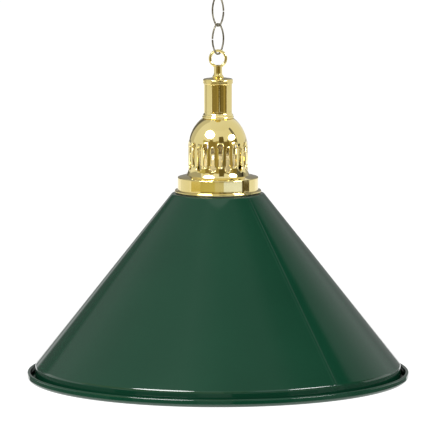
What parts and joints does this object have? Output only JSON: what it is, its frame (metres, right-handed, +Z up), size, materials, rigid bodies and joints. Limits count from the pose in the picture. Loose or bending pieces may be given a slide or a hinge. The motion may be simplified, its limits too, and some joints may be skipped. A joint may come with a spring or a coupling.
{
  "type": "pool table lamp",
  "caption": "Hanging pool table lamp: conical enamelled metal shade on a vented brass holder, hung by a loop and chain links from a ceiling hook, with a screw-in bulb.",
  "frame": {"origin": "centre of the ceiling plate's top face, in the middle of its screw circle", "axes": "+Z up along the lamp, +X to the right and -Y towards the viewer of the front view"},
  "size_m": [0.44, 0.44, 0.4835],
  "materials": {
    "brass_polished": "polished",
    "chain_antique": "antique bronzed",
    "steel_plated": "yellow-passivated zinc",
    "gasket": "matte",
    "enamel_green": "glossy vitreous enamel, green outside, white inside",
    "ring_plastic": "moulded",
    "contact_brass": "plain",
    "porcelain": "glazed ivory",
    "bulb_metal": "bright",
    "black_glass": "glossy",
    "solder": "dull",
    "bulb_glass": "frosted",
    "clear_glass": "clear",
    "filament_wire": "tungsten"
  },
  "bodies": {
    "ceiling": {"ceiling_plate": "brass_polished", "ceiling_hook": "brass_polished", "hook_nut": "steel_plated"},
    "link_upper": {"chain_link_upper": "chain_antique"},
    "link_lower": {"chain_link_lower": "chain_antique"},
    "lamp": {"hanging_loop": "brass_polished", "neck_cap": "brass_polished", "neck_tube": "brass_polished", "neck_collar": "brass_polished", "vented_dome": "brass_polished", "base_ring": "brass_polished", "shade_gasket": "gasket", "shade": "enamel_green", "shade_ring": "ring_plastic", "support_rod": "steel_plated", "coupling_nut": "steel_plated", "dome_washer": "steel_plated", "earth_tag": "contact_brass", "earth_screw": "steel_plated", "dome_nut": "steel_plated", "holder_lock_nut": "steel_plated", "holder_bush": "steel_plated", "holder_set_screw": "steel_plated", "holder_cap": "porcelain", "holder_skirt": "porcelain", "holder_insert": "porcelain", "centre_contact": "contact_brass", "side_contact": "contact_brass", "terminal_screws": "steel_plated", "screw_shell": "contact_brass"},
    "bulb_seat": {"cap_contact": "solder"},
    "bulb": {"bulb_cap": "bulb_metal", "cap_insulator": "black_glass", "bulb_glass": "bulb_glass", "glass_stem": "clear_glass", "lead_wires": "bulb_metal", "filament": "filament_wire"}
  },
  "joints": [
    {"name": "hook_swing", "type": "hinge", "parent": "ceiling", "child": "link_upper", "pos_m": [0, 0, -0.04445], "axis": [0.7071, 0.7071, 0], "range_deg": [-30, 30]},
    {"name": "chain_swing", "type": "hinge", "parent": "link_upper", "child": "link_lower", "pos_m": [0, 0, -0.0761], "axis": [0.7071, -0.7071, 0], "range_deg": [-30, 30]},
    {"name": "loop_swing", "type": "hinge", "parent": "link_lower", "child": "lamp", "pos_m": [0, 0, -0.10658], "axis": [0.7071, 0.7071, 0], "range_deg": [-20, 20]},
    {"name": "bulb_travel", "type": "slide", "parent": "lamp", "child": "bulb_seat", "axis": [0, 0, -1], "range_m": [0, 0.02]},
    {"name": "bulb_turn", "type": "hinge", "parent": "bulb_seat", "child": "bulb", "pos_m": [0, 0, -0.28], "axis": [0, 0, -1], "range_deg": [0, 1980]}
  ],
  "couplings": [
    {"joint": "bulb_travel", "follows": "bulb_turn", "m_per_rad": 0.00057757}
  ]
}
